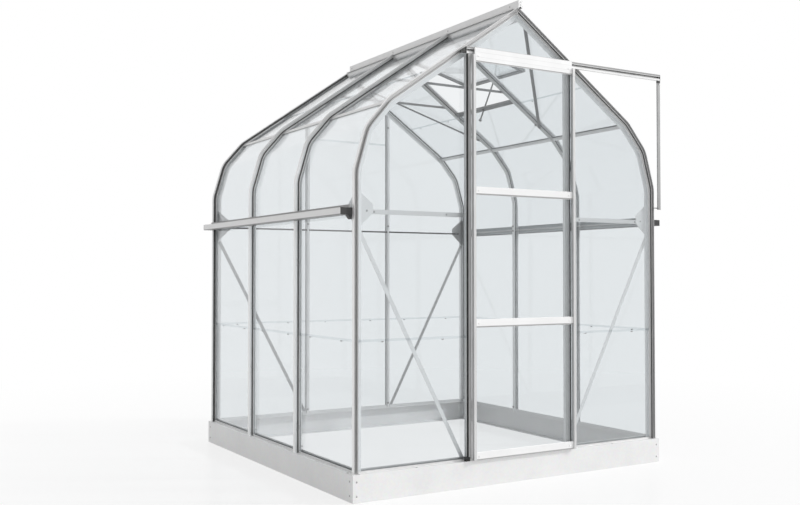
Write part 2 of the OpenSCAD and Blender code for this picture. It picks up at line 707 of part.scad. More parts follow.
module vent_pane() color(clear) on_vent() box(
    [vent_bar / 2 + 0.5, -vent_half + vent_bar / 2 + 0.5, vent_t / 2 - pane_t],
    [vent_len - vent_bar / 2 - 0.5, vent_half - vent_bar / 2 - 0.5, vent_t / 2]);
// Cross bar that the shut vent rests on, slotted for the stay
stay_w = 14;
stay_t = 3;
stay_pivot_r = 5;
stay_knob_r = 8;
stay_knob_len = 12;
stay_room = 0.5;
// The sill's top lies just under the shut vent
vent_sill_out = vent_t / 2 - (vent_pivot[1] - roof_z(vent_pivot[0], 0)) * cos(roof_pitch) + 0.5;
stay_slot = [vent_sill_s + vent_sill_w / 2, (vent_sill_out + seat_in) / 2];
module vent_sill() color(silver) difference() {
    roof_strip(vent_mid_y - vent_half, vent_mid_y + vent_half, vent_sill_s, vent_sill_s + vent_sill_w,
        vent_sill_out, seat_in);
    roof_strip(vent_mid_y - stay_w / 2 - stay_room, vent_mid_y + stay_w / 2 + stay_room,
        stay_slot[0] - 8, stay_slot[0] + 8, vent_sill_out - 1, seat_in + 1);
}
// Stay that hangs from the vent's lower bar through the slot, with a knob at its end
module vent_stay() color(silver) {
    reach = vent_len - vent_bar / 2;
    drop = vent_t / 2 + stay_pivot_r;
    top = vent_pivot + reach * [cos(vent_slope), -sin(vent_slope)]
        - drop * [sin(vent_slope), cos(vent_slope)];
    through = roof_point(stay_slot[0], stay_slot[1]);
    lean = atan2(top[0] - through[0], top[1] - through[1]);
    translate([top[0], vent_mid_y, top[1]]) {
        rotate([90, 0, 0]) cylinder(r = stay_pivot_r, h = stay_w + 6, center = true);
        rotate([0, 180 + lean, 0]) {
            box([-stay_t / 2, -stay_w / 2, 0], [stay_t / 2, stay_w / 2, stay_len]);
            translate([0, 0, stay_len]) rotate([0, 90, 0])
                cylinder(r = stay_knob_r, h = stay_knob_len, center = true);
        }
    }
}

// ---- Door track

track_front_y = front_y - track_d;
track_x0 = track_inset - track_drop / tan(roof_pitch);
track_x1 = half_w + track_reach;
track_z0 = track_top_z - track_h;
track_slot_h = 9;
module door_track() color(silver) {
    lip_h = (track_h - track_slot_h) / 2;
    // back, top, floor and the two lips beside the slot
    box([track_x0, front_y - bar_t, track_z0], [track_x1, front_y, track_top_z]);
    box([track_x0, track_front_y, track_top_z - bar_t], [track_x1, front_y, track_top_z]);
    box([track_x0, track_front_y, track_z0], [track_x1, front_y, track_z0 + bar_t]);
    box([track_x0, track_front_y, track_top_z - lip_h], [track_x1, track_front_y + bar_t, track_top_z]);
    box([track_x0, track_front_y, track_z0], [track_x1, track_front_y + bar_t, track_z0 + lip_h]);
}
// Post that hangs from the track's free end, held at its foot by a spacer on the corner bar
module track_end_post() color(silver) {
    x0 = track_x1 - track_post_w;
    foot_z = leg_top_z - track_post_drop;
    flange_y = track_front_y + track_post_d;
    spacer_h = 6;
    box([x0, track_front_y, foot_z], [track_x1, track_front_y + bar_t, track_z0]);
    box([x0, track_front_y, foot_z], [x0 + bar_t, flange_y, track_z0]);
    box([half_w - nose / 2, flange_y - 1, foot_z + spacer_h], [x0 + bar_t, front_y, foot_z + 2 * spacer_h]);
}
// Rubber strips on the outer sides of the door posts' noses, each on a foot
seal_w = 5.5;
seal_d = 10;
seal_out = 3;
module door_seal() {
    x = door_post_out;
    y = front_y - post_out - seal_out;
    foot_h = 20;
    box([x, y, plinth_h], [x + seal_w, y + seal_d, track_z0 - seal_out]);
    box([x, y, plinth_h], [x + 16, front_y + 3, plinth_h + foot_h]);
    box([x - 8, y, plinth_h], [x + 1, y + seal_out, plinth_h + foot_h]);
}
module door_seals() color(black) both_sides() door_seal();

// ---- Sliding door

door_x0 = -door_post_in - door_lap;
door_rail_x0 = door_x0 + stile_w;
door_rail_x1 = door_rail_x0 + door_rail_len;
stile_front_y = front_y - stile_front_out;
rail_front_y = stile_front_y + rail_setback;
rail_back_y = rail_front_y + rail_d;
door_foot_z = plinth_h + 4;
stile_top_z = track_z0 - door_clear;
module door_stile(x) difference() {
    box([x, stile_front_y, door_foot_z], [x + stile_w, stile_front_y + stile_d, stile_top_z]);
    // groove down the outer face
    box([x + bar_t, stile_front_y + stile_d - 6, door_foot_z - 1],
        [x + stile_w - bar_t, stile_front_y + stile_d + 1, stile_top_z + 1]);
}
module door_stiles() color(silver) {
    door_stile(door_x0);
    door_stile(door_rail_x1);
}
module door_rail(z, h) box([door_rail_x0, rail_front_y, z], [door_rail_x1, rail_back_y, z + h]);
module door_top_rail() color("white") door_rail(door_top_z - top_rail_h, top_rail_h);
module door_rails() color("white") for (z = [door_foot_z, lower_rail_z, upper_rail_z]) door_rail(z, rail_h);
module door_pane(z0, z1) box([door_rail_x0, rail_back_y - pane_t, z0], [door_rail_x1, rail_back_y, z1]);
module door_panes() color(clear) {
    door_pane(door_foot_z + rail_h, lower_rail_z);
    door_pane(lower_rail_z + rail_h, upper_rail_z);
    door_pane(upper_rail_z + rail_h, door_top_z - top_rail_h);
}
// Gliders that hang the door in the track
module door_gliders() color(black) {
    room = 0.5;
    length = 40;
    for (x = [door_rail_x0 + 60, door_rail_x1 - 60]) {
        box([x - length / 2, track_front_y + bar_t + room, track_z0 + bar_t + touch],
            [x + length / 2, front_y - bar_t - room, track_top_z - bar_t - 2]);
        translate([x, rail_back_y, track_z0 + track_h / 2]) rotate([-90, 0, 0])
            cylinder(r = 3, h = door_clear + bar_t + 2);
    }
}

plinth_front();
plinth_back();
plinth_left();
plinth_right();
plinth_corner_angles();
sills();
corner_bar_front_left();
corner_bar_front_right();
corner_bar_back_left();
corner_bar_back_right();
side_bars_left();
side_bars_right();
back_posts();
door_posts();
door_header();
gutter_left();
gutter_right();
gutter_end_caps();
eaves_bars_front();
eaves_bars_back();
eaves_corner_plates();
gable_braces();
roof_braces();
collar_ties();
knee_purlins();
ridge();
wall_panes_left();
wall_panes_right();
eaves_panes_left();
eaves_panes_right();
roof_panes_left();
roof_panes_right();
gable_panes_front();
gable_panes_back();
vent_frame();
vent_pane();
vent_sill();
vent_stay();
door_track();
track_end_post();
door_seals();
door_stiles();
door_top_rail();
door_rails();
door_panes();
door_gliders();
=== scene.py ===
"""Studio picture of the small greenhouse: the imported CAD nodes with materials, and the small
fastenings that hold them together. Lengths are in metres, in the frame of the CAD model."""
import math

import bmesh
import bpy
from mathutils import Matrix, Vector


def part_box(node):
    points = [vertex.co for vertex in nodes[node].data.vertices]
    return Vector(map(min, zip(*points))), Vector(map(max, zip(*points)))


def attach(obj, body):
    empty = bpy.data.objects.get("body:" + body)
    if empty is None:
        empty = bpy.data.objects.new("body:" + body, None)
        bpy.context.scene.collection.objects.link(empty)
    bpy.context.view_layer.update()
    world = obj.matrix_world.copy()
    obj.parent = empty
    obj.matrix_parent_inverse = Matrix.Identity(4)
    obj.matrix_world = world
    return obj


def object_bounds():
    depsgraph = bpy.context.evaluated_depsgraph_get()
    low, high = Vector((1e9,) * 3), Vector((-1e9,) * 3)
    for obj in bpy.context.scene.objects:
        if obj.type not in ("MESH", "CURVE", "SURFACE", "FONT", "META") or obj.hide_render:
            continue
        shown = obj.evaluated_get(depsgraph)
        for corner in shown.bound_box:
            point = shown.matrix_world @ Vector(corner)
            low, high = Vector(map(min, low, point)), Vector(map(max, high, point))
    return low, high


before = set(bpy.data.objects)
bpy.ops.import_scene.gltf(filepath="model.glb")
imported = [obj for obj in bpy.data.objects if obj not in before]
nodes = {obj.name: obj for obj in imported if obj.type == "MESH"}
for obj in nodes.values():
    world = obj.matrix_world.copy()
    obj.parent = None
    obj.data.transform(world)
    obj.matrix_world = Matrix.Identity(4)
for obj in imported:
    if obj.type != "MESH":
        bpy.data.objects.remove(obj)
cad_low, cad_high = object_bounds()
scene = bpy.context.scene
scene.view_settings.view_transform = "Standard"


# ---- Camera

CAMERA_AT = (-3.029, -4.7875, 1.037)
CAMERA_YAW = 31.0
CAMERA_PITCH = 1.324
LENS_MM = 43.18

camera_data = bpy.data.cameras.new("camera")
camera_data.lens = LENS_MM
camera_data.sensor_width = 36.0
camera_data.dof.use_dof = False
camera = bpy.data.objects.new("camera", camera_data)
camera.location = CAMERA_AT
camera.rotation_euler = (math.radians(90 + CAMERA_PITCH), 0, math.radians(-CAMERA_YAW))
scene.collection.objects.link(camera)
scene.camera = camera


# ---- Node helpers


class Graph:
    """A node tree, with short calls to add and join nodes."""

    def __init__(self, tree):
        self.tree = tree
        tree.nodes.clear()

    def add(self, kind, inputs=None, **settings):
        node = self.tree.nodes.new(kind)
        for key, value in settings.items():
            setattr(node, key, value)
        for key, value in (inputs or {}).items():
            self.put(node.inputs[key], value)
        return node

    def put(self, socket, value):
        """Links another node's output to a socket, or sets the socket's value."""
        if isinstance(value, bpy.types.NodeSocket):
            self.tree.links.new(value, socket)
        elif isinstance(value, (tuple, list)) and len(value) == 3 and len(socket.default_value) == 4:
            socket.default_value = (*value, 1.0)
        else:
            socket.default_value = value

    def math(self, operation, a, b=0.0):
        node = self.add("ShaderNodeMath", operation=operation)
        self.put(node.inputs[0], a)
        self.put(node.inputs[1], b)
        return node.outputs[0]

    def remap(self, value, low, high, to_low, to_high):
        node = self.add("ShaderNodeMapRange", {"Value": value, "From Min": low, "From Max": high,
                                               "To Min": to_low, "To Max": to_high})
        return node.outputs[0]

    def mix_colour(self, factor, a, b):
        node = self.add("ShaderNodeMix", data_type="RGBA")
        self.put(node.inputs[0], factor)
        self.put(node.inputs[6], a)
        self.put(node.inputs[7], b)
        return node.outputs[2]

    def place(self):
        return self.add("ShaderNodeTexCoord").outputs["Object"]

    def axes(self):
        """The point's X, Y and Z, each as an output of its own."""
        return self.add("ShaderNodeSeparateXYZ", {0: self.place()}).outputs

    def noise(self, scale, stretch=(1, 1, 1), detail=3.0):
        mapping = self.add("ShaderNodeMapping", {"Vector": self.place(), "Scale": stretch})
        node = self.add("ShaderNodeTexNoise", {"Vector": mapping.outputs[0], "Scale": scale,
                                               "Detail": detail, "Roughness": 0.55})
        return node.outputs["Fac"]

    def bump(self, height, strength, distance):
        node = self.add("ShaderNodeBump", {"Height": height, "Strength": strength, "Distance": distance})
        return node.outputs[0]

    def openness(self, reach, low, high):
        """0 deep in the object's own grooves and 1 on its open faces."""
        node = self.add("ShaderNodeAmbientOcclusion", {"Distance": reach}, samples=6, only_local=True)
        return self.remap(node.outputs["AO"], low, high, 0.0, 1.0)

    def level_lines(self, lines):
        """Weights of level lines, each given as its height, half of its width and its weight."""
        height = self.axes()["Z"]
        total = 0.0
        for z, half, weight in lines:
            off = self.math("ABSOLUTE", self.math("SUBTRACT", height, z))
            total = self.math("MAXIMUM", self.remap(off, half * 0.6, half * 1.4, weight, 0.0), total)
        return total

    def seen(self):
        """1 for the rays that look: from the camera, through a sheet or by a mirror; 0 for light."""
        path = self.add("ShaderNodeLightPath")
        through = self.math("MAXIMUM", path.outputs["Is Camera Ray"], path.outputs["Is Transmission Ray"])
        return self.math("MAXIMUM", through, path.outputs["Is Glossy Ray"])


def new_material(name):
    """A material with an empty tree, its graph, and the socket that takes its shader."""
    material = bpy.data.materials.new(name)
    material.use_nodes = True
    graph = Graph(material.node_tree)
    output = graph.add("ShaderNodeOutputMaterial")
    return material, graph, output.inputs["Surface"]


def grey(value, blue=0.0):
    """A grey, and how far it leans to blue."""
    return (value - blue / 2, value, value + blue)


# ---- Places, taken from the boxes of the CAD nodes

right_low, right_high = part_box("corner_bar_front_right")
HALF_W = right_high.x
FRONT_Y = right_low.y
BACK_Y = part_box("corner_bar_back_right")[1].y
MID_Y = (FRONT_Y + BACK_Y) / 2
PLINTH_H = right_low.z
APEX_Z = right_high.z
plinth_low, plinth_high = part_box("plinth_front")
PLINTH_HALF_W = plinth_high.x
PLINTH_OUT = PLINTH_HALF_W - HALF_W
eaves_low, eaves_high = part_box("eaves_bars_front")
EAVES_Z = (eaves_low.z + eaves_high.z) / 2
bars_low, bars_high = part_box("side_bars_left")
SEAT_HALF = 0.013
END_POST_W = 0.020
BAR_YS = (bars_low.y + SEAT_HALF, bars_high.y - SEAT_HALF)
POST_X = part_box("back_posts")[1].x - SEAT_HALF
tie_low, tie_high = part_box("collar_ties")
TIE_Z = (tie_low.z + tie_high.z) / 2
DOOR_NOSE_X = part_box("door_posts")[1].x - 0.010
ridge_low, ridge_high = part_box("ridge")
PURLIN_OUT_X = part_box("knee_purlins")[1].x
PITCH = math.radians(34.75)
# Depths below the corner bars' outer line: the lower and the upper panes' outer faces, the inner
# faces of the seats, the bars' inner edges; and how far the side bars' caps stand out past it
PANE_OUT = 0.020
LAPPED = 0.0157
HEEL = 0.0266
BAR_DEPTH = 0.031
CAP_OUT = 0.010
LAP_Z = 0.738
LAP_SHARES = (0.22, 0.78)
VENT_BAY = 1
SLOPE_UP = Vector((-math.cos(PITCH), 0, math.sin(PITCH)))
SLOPE_OUT = Vector((math.sin(PITCH), 0, math.cos(PITCH)))
BAY_EDGES = (FRONT_Y + HEEL, *BAR_YS, BACK_Y - HEEL)
SILL_BOLT_YS = (FRONT_Y + 0.05, *BAR_YS, BACK_Y - 0.05)
PLINTH_BOLT_XS = (HALF_W - 0.022, 0.62, 0.34)
EAVES_BOLT_XS = (0.831, 0.426)
TRACK_SCREW_XS = (-DOOR_NOSE_X, -0.1, 0.1, DOOR_NOSE_X, 0.55, 0.80, HALF_W + 0.012)
# Bolts of a corner plate: the distance from the middle, and the height above the eaves bars
PLATE_BOLTS = ((0.910, 0.076), (0.871, 0.004), (0.9105, -0.091))
# Nuts on the bars' inner edges: heights up a wall and up a back post, distances from the middle
# under a slope
BAR_NUT_ZS = (PLINTH_H + 0.030, EAVES_Z, EAVES_Z + 0.030)
POST_NUT_ZS = (PLINTH_H + 0.030, EAVES_Z + 0.040, 2.05)
SLOPE_NUT_XS = (0.10, 0.62)
# Glazing clips: heights up a wall and up a back post, distances from the middle on the slopes
WALL_CLIP_ZS = (0.26, 0.50, 0.86, 1.10)
POST_CLIP_ZS = (0.26, 0.50, 0.90, 1.16, 1.50, 1.76)
LOW_ROOF_CLIP_XS = (0.52, 0.66)
HIGH_ROOF_CLIP_XS = (0.16, 0.34)
# The corner bars' outline: the height of its upright part, the length and the slope of each facet
# above that, and the radius of its bends
LEG_TOP_Z = 1.520
FACETS = ((0.217, 73.5), (0.193, 49.0))
BEND_R = 0.160
# The door's parts, the track and the gutters
top_low, top_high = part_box("door_top_rail")
rails_low, rails_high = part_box("door_rails")
track_low, track_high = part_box("door_track")
gutter_low, gutter_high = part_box("gutter_right")
RAIL_H = 0.036
LOWER_RAIL_Z = 0.780


# ---- Materials

# Heights over which a bar takes on its high tone, which is painted shade, and over which the painted light on
# its inner parts ends
SHADED_HIGH_Z = (1.60, 1.85)
PAINTED_LIGHT_Z = (1.45, 1.60)


def extruded_metal(name, tone, stretch, metallic=0.45, depth=0.45, lines=(), reach=0.03, high=None,
                   painted_light_behind=None, painted_light_within=None, face=None, back=None):
    """Bare extruded aluminium: die lines along the bar, soft oxide clouds, and painted shade in the grooves,
    where ambient occlusion finds the object's own recesses; depth is how much darker it gets there. A high
    tone, if it is given, takes over from the tone on the way up the shoulders: painted shade. Behind a given
    y, or below the shoulders and nearer the middle than a given distance, the metal is painted bright and
    matt: painted light on the bars' inner parts. A face tone is a painted dark reflection on the surface
    that looks out of the front gable, and a back tone is painted shade on what stands at the back gable.
    Lines, if they are given, are painted shade along edges and in grooves."""
    material, graph, surface = new_material(name)
    spot = graph.axes()
    clouds = graph.noise(7.0, detail=3.0)
    drawn = graph.noise(60.0, stretch=stretch, detail=2.0)
    fine = graph.noise(900.0, detail=2.0)
    cloudy = graph.mix_colour(graph.remap(clouds, 0.3, 0.7, 0.0, 1.0), grey(tone - 0.03), grey(tone + 0.02))
    # Painted shade: the darker high tone up the shoulders
    if high:
        cloudy = graph.mix_colour(graph.remap(spot["Z"], *SHADED_HIGH_Z, 0.0, 1.0), cloudy, grey(high))
    lined = graph.mix_colour(graph.remap(drawn, 0.35, 0.7, 0.0, 0.3), cloudy, grey(tone - 0.08))
    # Painted shade in the object's own grooves and recesses, by ambient occlusion
    colour = graph.mix_colour(graph.openness(reach, 0.35, 0.85), grey(tone * (1 - depth)), lined)
    # Painted shade lines along edges and in grooves
    if lines:
        colour = graph.mix_colour(graph.level_lines(lines), colour, grey(0.16))
    # Painted dark reflection on the outermost front faces
    if face:
        outermost = graph.remap(spot["Y"], FRONT_Y + 0.0004, FRONT_Y + 0.0008, 1.0, 0.0)
        colour = graph.mix_colour(outermost, colour, grey(face))
    # Painted shade on what stands at the back gable
    if back:
        colour = graph.mix_colour(graph.remap(spot["Y"], -0.01, 0.01, 0.0, 1.0), colour, grey(back))
    # Painted light: bright, matt metal behind the given y, or on the inner parts below the shoulders
    painted_light = None
    if painted_light_behind:
        painted_light = graph.remap(spot["Y"], painted_light_behind - 0.001, painted_light_behind + 0.001, 0.0, 1.0)
    elif painted_light_within:
        from_middle = graph.math("ABSOLUTE", spot["X"])
        near = graph.remap(from_middle, painted_light_within - 0.001, painted_light_within + 0.001, 1.0, 0.0)
        painted_light = graph.math("MULTIPLY", near, graph.remap(spot["Z"], *PAINTED_LIGHT_Z, 1.0, 0.0))
    if painted_light:
        colour = graph.mix_colour(painted_light, colour, grey(0.97))
        metallic = graph.remap(painted_light, 0.0, 1.0, metallic, 0.05)
    rough = graph.math("ADD", graph.remap(clouds, 0.3, 0.7, 0.33, 0.43), graph.remap(fine, 0.3, 0.7, 0, 0.05))
    relief = graph.math("ADD", graph.math("MULTIPLY", drawn, 0.8), graph.math("MULTIPLY", fine, 0.2))
    shader = graph.add("ShaderNodeBsdfPrincipled", {
        "Base Color": colour, "Metallic": metallic, "Roughness": rough,
        "Normal": graph.bump(relief, 0.2, 0.0004)})
    graph.put(surface, shader.outputs[0])
    return material


def galvanised(name):
    """Folded zinc-coated sheet: faint spangle and rolling marks along the board."""
    material, graph, surface = new_material(name)
    spangle = graph.add("ShaderNodeTexVoronoi", {"Vector": graph.place(), "Scale": 90.0}).outputs["Color"]
    clouds = graph.noise(5.0, detail=4.0)
    base = graph.mix_colour(graph.remap(clouds, 0.3, 0.7, 0.0, 1.0), grey(0.80), grey(0.86))
    tint = graph.mix_colour(0.03, base, spangle)
    rough = graph.remap(clouds, 0.3, 0.7, 0.36, 0.5)
    shader = graph.add("ShaderNodeBsdfPrincipled", {
        "Base Color": tint, "Metallic": 0.25, "Roughness": rough,
        "Normal": graph.bump(graph.noise(700.0), 0.12, 0.0003)})
    graph.put(surface, shader.outputs[0])
    return material


def moulded(name, tone, rough):
    """Dark moulded plastic or rubber with a fine grain."""
    material, graph, surface = new_material(name)
    grain = graph.noise(1800.0, detail=2.0)
    clouds = graph.noise(40.0)
    base = graph.mix_colour(clouds, grey(tone * 0.7), grey(tone * 1.3))
    shader = graph.add("ShaderNodeBsdfPrincipled", {
        "Base Color": base, "Roughness": graph.remap(clouds, 0.3, 0.7, rough - 0.07, rough + 0.07),
        "Normal": graph.bump(grain, 0.3, 0.0003)})
    graph.put(surface, shader.outputs[0])
    return material


def clear_sheet(name, tint):
    """Thin clear sheet: it lets the view through unbent, with its tint, and mirrors at a slant."""
    material, graph, surface = new_material(name)
    slant = graph.add("ShaderNodeLayerWeight", {"Blend": 0.5}).outputs["Facing"]
    steep = graph.math("POWER", slant, 4.0)
    mirror = graph.remap(steep, 0.0, 1.0, 0.03, 0.75)
    wave = graph.noise(3.0, detail=1.0)
    dust = graph.noise(35.0, detail=4.0)
    through = graph.add("ShaderNodeBsdfTransparent", {"Color": tint})
    gloss = graph.add("ShaderNodeBsdfPrincipled", {
        "Base Color": grey(0.9, 0.01), "Metallic": 1.0, "Roughness": graph.remap(dust, 0.4, 0.8, 0.02, 0.07),
        "Normal": graph.bump(wave, 0.1, 0.002)})
    both = graph.add("ShaderNodeMixShader", {0: mirror, 1: through.outputs[0], 2: gloss.outputs[0]})
    graph.put(surface, both.outputs[0])
    return material


# Painted shade lines along the edges and in the grooves of the rails, the track and the gutters,
# where shade falls: height, half of the width and weight
TOP_RAIL_SHADE_LINES = [(top_high.z - 0.001, 0.001, 0.5), (top_low.z + 0.0015, 0.0015, 0.8),
                  (top_low.z + 0.021, 0.001, 0.15), (top_low.z + 0.046, 0.001, 0.15)]
RAIL_SHADE_LINES = [(z + 0.002, 0.003, 0.7) for z in (LOWER_RAIL_Z, rails_high.z - RAIL_H, rails_low.z)]
TRACK_SHADE_LINES = [(track_high.z - 0.005, 0.005, 0.75), (track_high.z - 0.0225, 0.002, 0.6)]
GUTTER_SHADE_LINES = [(gutter_low.z + 0.001, 0.0028, 0.8), (gutter_high.z - 0.004, 0.004, 0.4)]

# How the die lines are stretched: along an axis, or along bars that bend in the xz plane
ALONG_X, ALONG_Y, ALONG_Z, ROUND_Y = (0.02, 8, 8), (8, 0.02, 8), (8, 8, 0.02), (0.05, 12, 0.05)

metal_x = extruded_metal("aluminium_x", 0.74, ALONG_X)
metal_y = extruded_metal("aluminium_y", 0.74, ALONG_Y)
metal_z = extruded_metal("aluminium_z", 0.80, ALONG_Z, depth=0.5)
metal_stile = extruded_metal("aluminium_stile", 0.66, ALONG_Z, depth=0.4)
# Door posts: painted light on their parts behind the front 4 mm
metal_post = extruded_metal("aluminium_post", 0.60, ALONG_Z, depth=0.3, painted_light_behind=FRONT_Y + 0.004)
metal_end = extruded_metal("aluminium_end_post", 0.40, ALONG_Z, depth=0.3)
metal_track = extruded_metal("aluminium_track", 0.76, ALONG_X, depth=0.3, lines=TRACK_SHADE_LINES)
metal_gutter = extruded_metal("aluminium_gutter", 0.74, ALONG_Y, lines=GUTTER_SHADE_LINES)
# Side bars: painted shade as the high tone up the shoulders, and painted light on their inner parts below
# them
metal_bent = extruded_metal("aluminium_bent", 0.92, ROUND_Y, depth=0.2, reach=0.014, high=0.60,
                            painted_light_within=HALF_W - 0.016)
# Front corner bars: a painted dark reflection on their front faces, and painted light behind the noses
metal_corner = extruded_metal("aluminium_corner", 0.94, ROUND_Y, depth=0.5, painted_light_behind=FRONT_Y + 0.0178,
                              face=0.50)
metal_back_corner = extruded_metal("aluminium_back_corner", 0.76, ROUND_Y, depth=0.3)
# Painted shade on the braces and corner plates at the back gable
metal_brace = extruded_metal("aluminium_brace", 0.86, ROUND_Y, metallic=0.2, depth=0.1, back=0.42)
metal_top_rail = extruded_metal("aluminium_top_rail", 0.9, ALONG_X, 0.1, 0.1, TOP_RAIL_SHADE_LINES)
metal_rail = extruded_metal("aluminium_rail", 0.9, ALONG_X, 0.1, 0.1, RAIL_SHADE_LINES)
# Dark copies of the aluminium: painted shade on the members under the roof and on the back eaves bars
metal_painted_shade = extruded_metal("aluminium_painted_shade", 0.26, ROUND_Y, metallic=0.3)
metal_deep_painted_shade = extruded_metal("aluminium_deep_painted_shade", 0.12, ALONG_X, metallic=0.3)
zinc = galvanised("galvanised_sheet")
steel = extruded_metal("fastener_steel", 0.42, (1, 1, 1), metallic=0.6, depth=0.5)
black_plastic = moulded("black_plastic", 0.035, 0.45)
rubber = moulded("rubber", 0.02, 0.7)
grey_rubber = moulded("grey_rubber", 0.08, 0.6)
pale_rubber = moulded("pale_rubber", 0.50, 0.6)
sheet = clear_sheet("clear_sheet", (0.935, 0.946, 0.951))
# The right slope's panes take a darker tint: painted shade
shaded_sheet = clear_sheet("clear_sheet_shaded", (0.912, 0.926, 0.933))


def wear(material, *names):
    """Gives CAD nodes their material."""
    for name in names:
        nodes[name].data.materials.clear()
        nodes[name].data.materials.append(material)


wear(zinc, "plinth_front", "plinth_back", "plinth_left", "plinth_right", "plinth_corner_angles")
wear(metal_y, "sills", "knee_purlins", "ridge")
wear(metal_gutter, "gutter_left", "gutter_right")
wear(metal_corner, "corner_bar_front_left", "corner_bar_front_right")
wear(metal_back_corner, "corner_bar_back_left", "corner_bar_back_right")
wear(metal_bent, "side_bars_left", "side_bars_right")
wear(metal_z, "back_posts")
wear(metal_stile, "door_stiles")
wear(metal_post, "door_posts")
wear(metal_end, "track_end_post")
wear(metal_track, "door_track")
wear(metal_x, "door_header", "eaves_bars_front")
wear(metal_painted_shade, "vent_frame", "roof_braces", "collar_ties", "vent_stay", "vent_sill")
wear(metal_deep_painted_shade, "eaves_bars_back")
wear(metal_top_rail, "door_top_rail")
wear(metal_rail, "door_rails")
wear(metal_brace, "gable_braces", "eaves_corner_plates")
wear(black_plastic, "gutter_end_caps", "door_gliders")
wear(rubber, "door_seals")
wear(sheet, "wall_panes_left", "wall_panes_right", "eaves_panes_left", "roof_panes_left",
     "gable_panes_front", "gable_panes_back", "vent_pane", "door_panes")
wear(shaded_sheet, "eaves_panes_right", "roof_panes_right")


# ---- Mesh helpers for the fastenings


def facing(at, normal, up=(0, 0, 1)):
    """Axes at a point with local z along normal and local y as near up as it can be."""
    z = Vector(normal).normalized()
    x = Vector(up).cross(z)
    if x.length < 1e-6:
        x = Vector((1, 0, 0)).cross(z)
        if x.length < 1e-6:
            x = Vector((0, 1, 0))
    x.normalize()
    y = z.cross(x)
    matrix = Matrix((x, y, z)).transposed().to_4x4()
    matrix.translation = Vector(at)
    return matrix


def turned(mesh, matrix, profile, sides=16):
    """A turned piece: its profile is a list of (radius, height), which starts and ends on the axis."""
    turn = 2 * math.pi / sides
    rings = []
    for radius, height in profile:
        corners = [(radius * math.cos(i * turn), radius * math.sin(i * turn), height)
                   for i in range(sides if radius else 1)]
        rings.append([mesh.verts.new(matrix @ Vector(corner)) for corner in corners])
    for a, b in zip(rings, rings[1:]):
        for i in range(sides):
            j = (i + 1) % sides
            if len(a) == 1:
                mesh.faces.new((a[0], b[j], b[i]))
            elif len(b) == 1:
                mesh.faces.new((a[i], a[j], b[0]))
            else:
                mesh.faces.new((a[i], a[j], b[j], b[i]))


def plate(mesh, matrix, corners, low, high):
    """A plate with the given corners between two heights."""
    bottom = [mesh.verts.new(matrix @ Vector((x, y, low))) for x, y in corners]
    top = [mesh.verts.new(matrix @ Vector((x, y, high))) for x, y in corners]
    mesh.faces.new(bottom[::-1])
    mesh.faces.new(top)
    for i in range(len(corners)):
        j = (i + 1) % len(corners)
        mesh.faces.new((bottom[i], bottom[j], top[j], top[i]))


def join_rings(mesh, rings):
    """Closes a run of rings of corners into one solid."""
    mesh.faces.new(rings[0])
    mesh.faces.new(rings[-1][::-1])
    for a, b in zip(rings, rings[1:]):
        for i in range(len(a)):
            j = (i + 1) % len(a)
            mesh.faces.new((a[i], b[i], b[j], a[j]))


def strip(mesh, matrix, path, half_width, half_thick):
    """A bent strip: its path lies in the local yz plane and its width runs along local x."""
    rings = []
    points = [Vector(p) for p in path]
    for i, point in enumerate(points):
        before = points[max(i - 1, 0)]
        after = points[min(i + 1, len(points) - 1)]
        along = (after - before).normalized()
        side = Vector((-along.y, along.x)) * half_thick
        corners = [(-half_width, point + side), (half_width, point + side),
                   (half_width, point - side), (-half_width, point - side)]
        rings.append([mesh.verts.new(matrix @ Vector((x, p.x, p.y))) for x, p in corners])
    join_rings(mesh, rings)


def wire(mesh, matrix, path, radius, sides=6):
    """A bent wire along a path of local points."""
    points = [Vector(p) for p in path]
    turn = 2 * math.pi / sides
    rings = []
    for i, point in enumerate(points):
        along = (points[min(i + 1, len(points) - 1)] - points[max(i - 1, 0)]).normalized()
        first = along.cross(Vector((0.3, 0.2, 1))).normalized()
        second = along.cross(first)
        rings.append([mesh.verts.new(matrix @ (point + radius * (math.cos(k * turn) * first
                                                                + math.sin(k * turn) * second)))
                      for k in range(sides)])
    join_rings(mesh, rings)


def piece(name, body, material, build, smooth=False):
    """Makes one piece from the function that fills its mesh, and puts it on its body."""
    mesh = bmesh.new()
    build(mesh)
    bmesh.ops.recalc_face_normals(mesh, faces=mesh.faces)
    data = bpy.data.meshes.new(name)
    mesh.to_mesh(data)
    mesh.free()
    if smooth:
        data.polygons.foreach_set("use_smooth", [True] * len(data.polygons))
    data.materials.append(material)
    made = bpy.data.objects.new(name, data)
    scene.collection.objects.link(made)
    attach(made, body)


# Profiles of the heads of bolts, rivets and screws
DOME = [(0, 0), (0.0068, 0), (0.0068, 0.0008), (0.0052, 0.0010), (0.0049, 0.0022), (0.0036, 0.0034),
        (0.0018, 0.0040), (0, 0.0041)]
RIVET = [(0, 0), (0.0046, 0), (0.0044, 0.0007), (0.0034, 0.0015), (0.0015, 0.0021), (0, 0.0022)]
FLAT_HEAD = [(0, 0), (0.0050, 0), (0.0050, 0.0006), (0.0040, 0.0011), (0, 0.0012)]


def nut(mesh, matrix):
    """Washer, hexagon nut and the end of its bolt."""
    turned(mesh, matrix, [(0, 0), (0.0065, 0), (0.0065, 0.0010), (0, 0.0010)])
    corners = [(0.0057 * math.cos(math.radians(60 * i)), 0.0057 * math.sin(math.radians(60 * i)))
               for i in range(6)]
    plate(mesh, matrix, corners, 0.0010, 0.0050)
    turned(mesh, matrix, [(0, 0.0050), (0.0029, 0.0050), (0.0029, 0.0078), (0.0022, 0.0084), (0, 0.0084)], 12)


